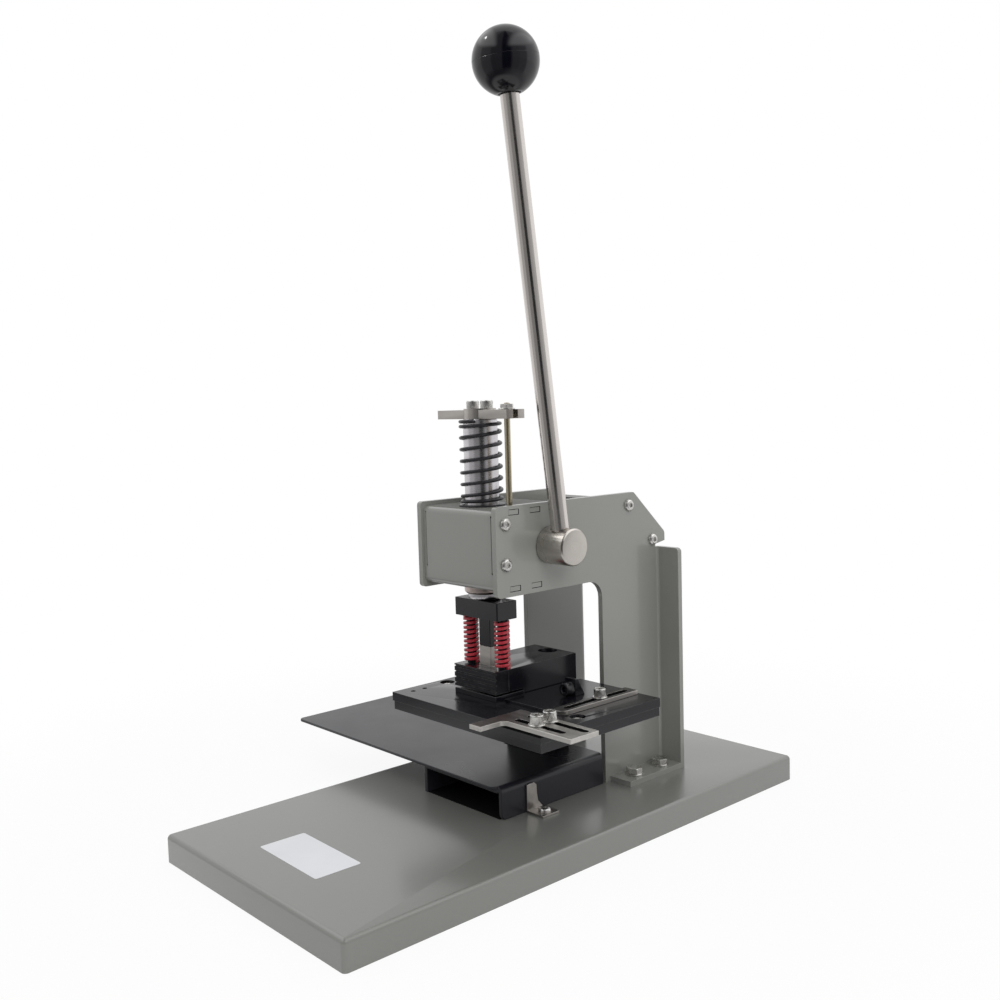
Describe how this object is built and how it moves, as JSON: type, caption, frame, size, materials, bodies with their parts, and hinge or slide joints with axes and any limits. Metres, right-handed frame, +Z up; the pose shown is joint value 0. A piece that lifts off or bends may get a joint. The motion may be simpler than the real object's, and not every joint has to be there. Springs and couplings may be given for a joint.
{
  "type": "slot punching machine",
  "caption": "Desk-top slot punch: a lever and ball knob turn a pinion that drives a sprung ram, punching hanger slots in cards.",
  "frame": {"origin": "on the resting plane, under the middle of the base's front rim", "axes": "X to the operator's right, Y to the back of the machine, Z up; the lever turns about X and the ram slides along Z"},
  "size_m": [0.322, 0.4, 0.5134],
  "materials": {
    "frame_paint": "satin grey-green powder coat",
    "ground_steel": "ground and brushed",
    "polished_steel": "ground bright",
    "nickel": "nickel plated, drawn along its length",
    "fastener": "zinc plated",
    "bronze": "turned bearing bronze",
    "yellow_zinc": "yellow passivated zinc",
    "black_oxide": "blackened steel, slight oil sheen",
    "spring_black": "oil-hardened dark spring wire",
    "spring_red": "red lacquered spring wire",
    "tray_black": "black powder coat",
    "ball_black": "polished moulded plastic"
  },
  "bodies": {
    "frame": {"base_plate": "frame_paint", "side_plate_left": "frame_paint", "side_plate_right": "frame_paint", "arm_box": "frame_paint", "rear_cover": "frame_paint", "guide_block": "black_oxide", "ram_bush_upper": "bronze", "ram_bush_lower": "bronze", "shaft_bush_left": "bronze", "shaft_bush_right": "bronze", "frame_screws_left": "fastener", "frame_screws_right": "fastener", "foot_bolts": "fastener", "foot_nuts": "fastener", "spring_seat": "fastener", "main_spring": "spring_black", "punch_spring_left": "spring_red", "punch_spring_right": "spring_red", "pedestal": "black_oxide", "pedestal_bolts": "fastener", "sub_plate": "black_oxide", "die_plate": "black_oxide", "die_plate_screws": "fastener", "die_insert": "black_oxide", "stripper_block": "black_oxide", "block_body": "black_oxide", "block_screw": "black_oxide", "guide_bed": "black_oxide", "clamp_block": "black_oxide", "clamp_screw": "fastener", "guide_support": "ground_steel", "guide_screws": "polished_steel", "depth_stop_screw": "polished_steel", "chip_tray": "tray_black", "tray_bracket": "ground_steel", "bracket_screw": "fastener"},
    "lever": {"pinion_shaft": "polished_steel", "pinion": "fastener", "retaining_ring": "fastener", "lever_hub": "nickel", "lever_rod": "nickel", "ball_knob": "ball_black"},
    "ram": {"ram": "polished_steel", "ram_cap": "ground_steel", "cap_screws": "polished_steel", "guide_rod": "yellow_zinc", "guide_rod_nut": "fastener", "punch_head": "black_oxide", "punch_holder": "black_oxide", "punch": "polished_steel", "spring_pilots": "fastener"},
    "side_guide": {"side_guide": "ground_steel"},
    "depth_stop": {"depth_stop": "ground_steel"}
  },
  "joints": [
    {"name": "lever_turn", "type": "hinge", "parent": "frame", "child": "lever", "pos_m": [0, 0.2095, 0.192], "axis": [1, 0, 0], "range_deg": [0, 60]},
    {"name": "ram_slide", "type": "slide", "parent": "frame", "child": "ram", "axis": [0, 0, -1], "range_m": [0, 0.0142], "stiffness_N_per_m": 3000, "springref_m": -0.012, "deforming": ["main_spring", "punch_spring_left", "punch_spring_right"]},
    {"name": "side_guide_slide", "type": "slide", "parent": "frame", "child": "side_guide", "axis": [1, 0, 0], "range_m": [-0.018, 0.014]},
    {"name": "depth_stop_slide", "type": "slide", "parent": "frame", "child": "depth_stop", "axis": [0, 1, 0], "range_m": [-0.014, 0.003]}
  ],
  "couplings": [
    {"joint": "ram_slide", "follows": "lever_turn", "m_per_rad": 0.0135}
  ]
}
